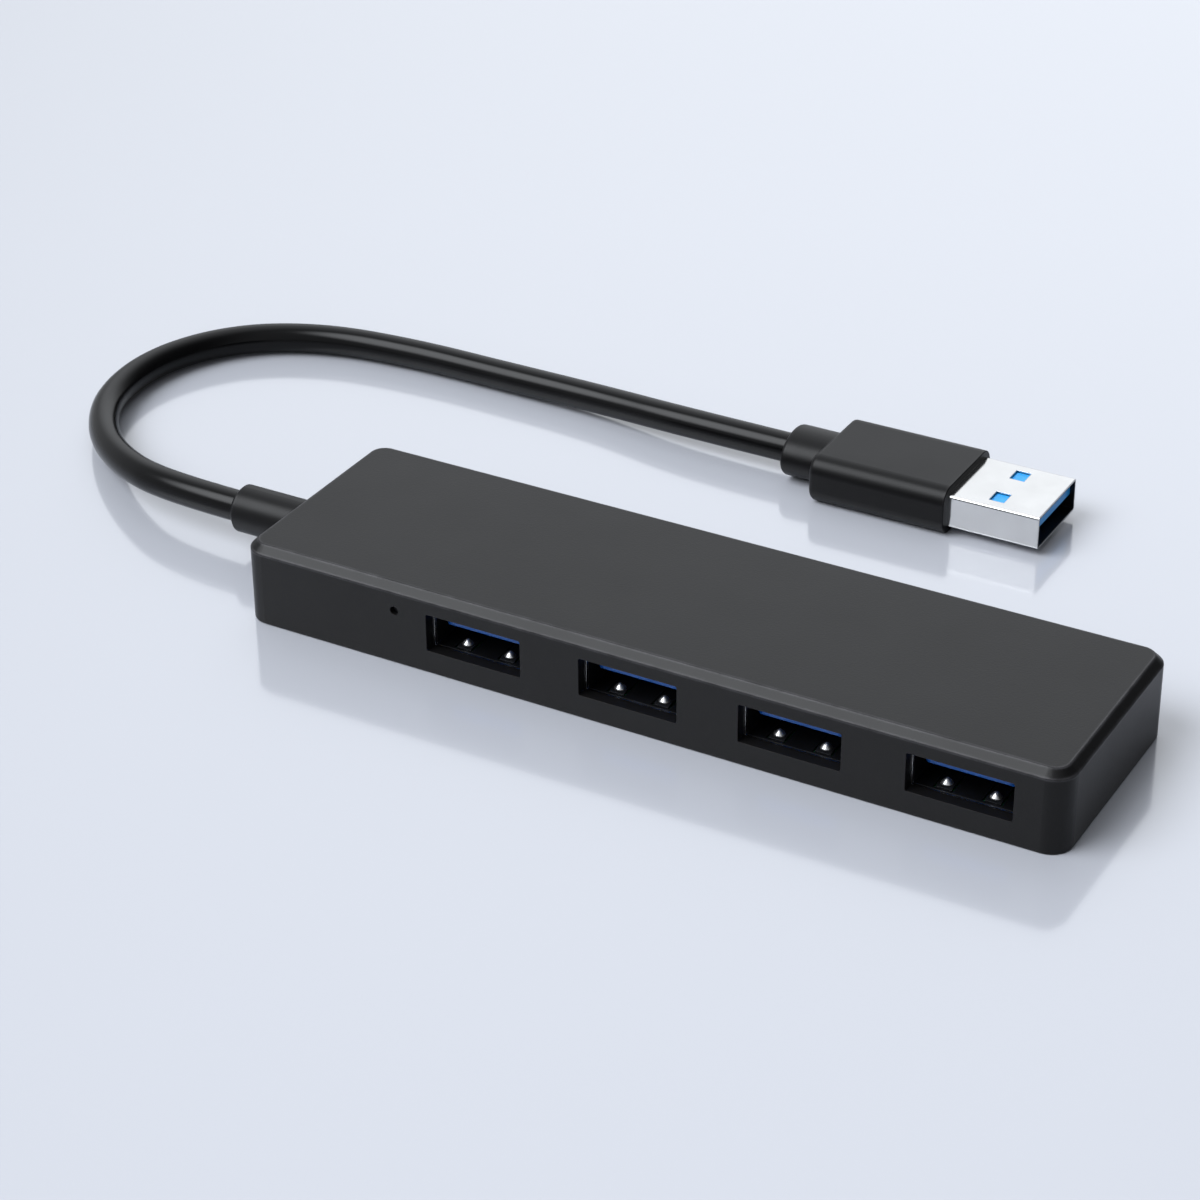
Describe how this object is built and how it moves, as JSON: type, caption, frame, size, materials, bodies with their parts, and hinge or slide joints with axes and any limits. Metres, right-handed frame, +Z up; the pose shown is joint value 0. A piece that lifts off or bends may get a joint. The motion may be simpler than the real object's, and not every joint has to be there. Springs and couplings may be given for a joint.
{
  "type": "usb hub",
  "caption": "Slim bar-shaped USB hub with a row of USB-A ports along one side and a short captive cable ending in a USB-A plug.",
  "frame": {"origin": "middle of the housing's underside", "axes": "+X along the housing away from its cable, -Y the way the ports face, +Z up"},
  "size_m": [0.157, 0.073, 0.0106],
  "materials": {
    "housing": "fine matte texture",
    "overmould": "satin",
    "cable_jacket": "smooth semi-gloss",
    "plug_metal": "bright nickel plate",
    "port_metal": "nickel plated sheet",
    "blue_plastic": "smooth moulded",
    "contact": "gold plated",
    "board": "solder mask",
    "chip": "moulded epoxy",
    "tin": "tinned",
    "ferrite": "sintered",
    "capacitor": "glazed",
    "led": "clear moulded",
    "clear_pipe": "clear acrylic",
    "inner_mould": "natural",
    "wire_insulation": "smooth"
  },
  "bodies": {
    "root": {"top_cover": "housing", "bottom_cover": "housing", "circuit_board": "board", "hub_controller": "chip", "crystal": "tin", "voltage_regulator": "chip", "power_inductor": "ferrite", "capacitors": "capacitor", "resistors": "chip", "status_led": "led", "light_pipe": "clear_pipe", "cable": "cable_jacket", "cable_strain_relief": "overmould", "hub_wires": "wire_insulation", "solder_joints": "tin", "plug_overmould": "overmould", "plug_inner_mould": "inner_mould", "plug_wires": "wire_insulation", "plug_shell": "plug_metal", "plug_insulator": "blue_plastic", "plug_contacts": "contact", "port_1_shell": "port_metal", "port_1_insulator": "blue_plastic", "port_1_contacts": "contact", "port_2_shell": "port_metal", "port_2_insulator": "blue_plastic", "port_2_contacts": "contact", "port_3_shell": "port_metal", "port_3_insulator": "blue_plastic", "port_3_contacts": "contact", "port_4_shell": "port_metal", "port_4_insulator": "blue_plastic", "port_4_contacts": "contact"}
  },
  "joints": []
}
